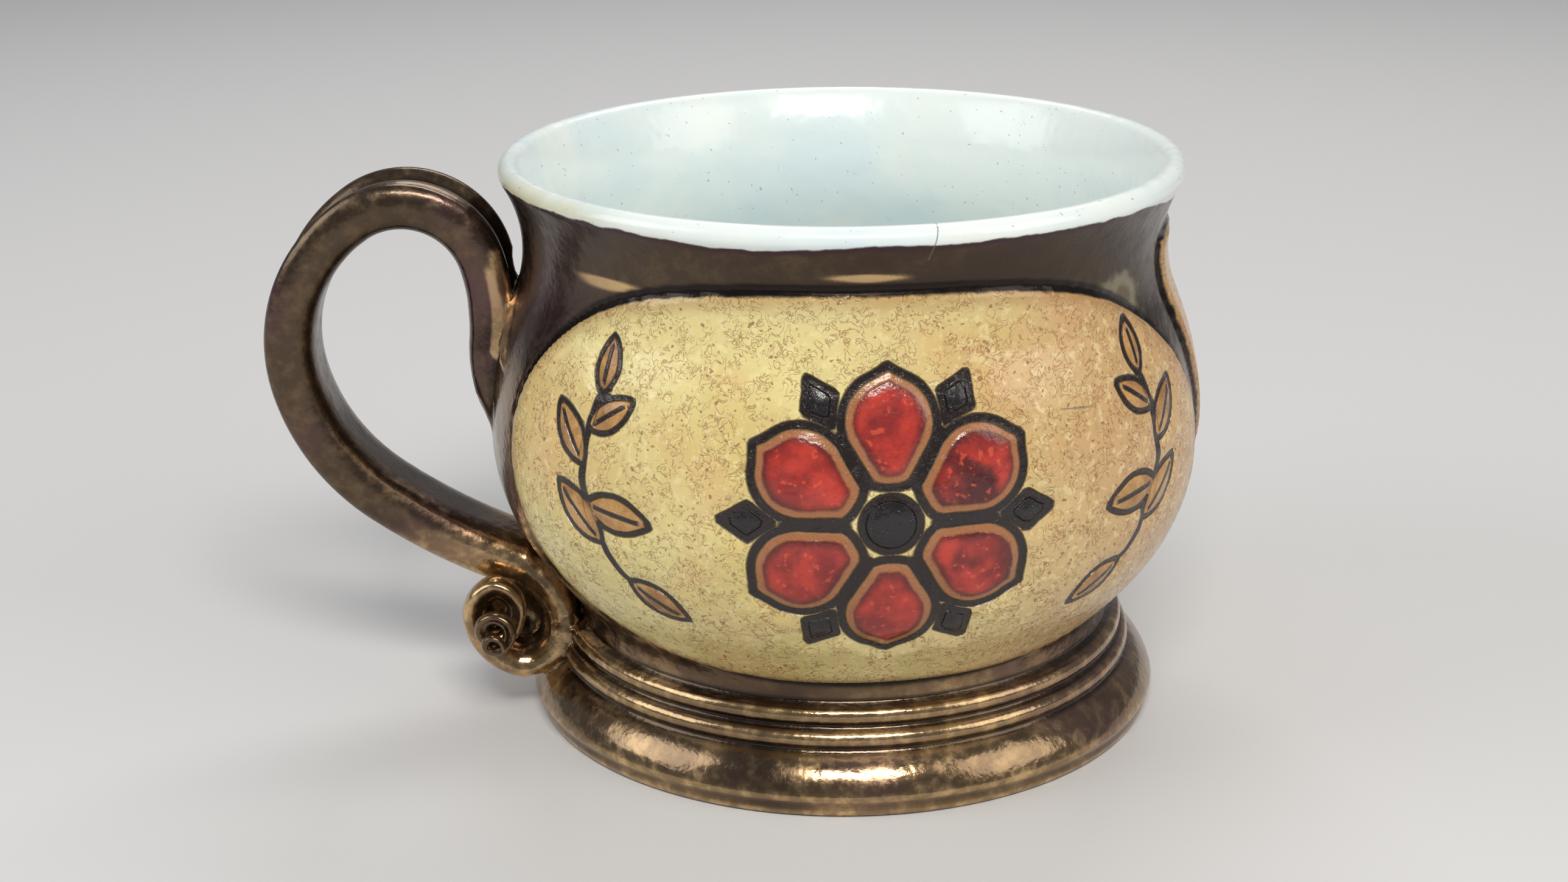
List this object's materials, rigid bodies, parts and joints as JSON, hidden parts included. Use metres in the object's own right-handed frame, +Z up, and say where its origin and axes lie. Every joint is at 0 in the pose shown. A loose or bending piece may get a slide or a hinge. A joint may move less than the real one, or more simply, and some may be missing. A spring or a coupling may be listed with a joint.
{
  "type": "pottery cup",
  "caption": "Round-bellied stoneware cup on a stepped foot, with raised glazed panels carved with a flower, and a strap handle whose tail is rolled into a snail.",
  "frame": {"origin": "centre of the foot's resting ring, on the cup's axis", "axes": "+Z up along the cup's axis, -Y towards the front panel with the flower, -X towards the handle"},
  "size_m": [0.14, 0.1082, 0.085],
  "materials": {
    "glaze": "glossy mottled bronze-brown glaze, with ochre panels and a milky white lip and inside"
  },
  "bodies": {
    "root": {"cup": "glaze"}
  },
  "joints": []
}
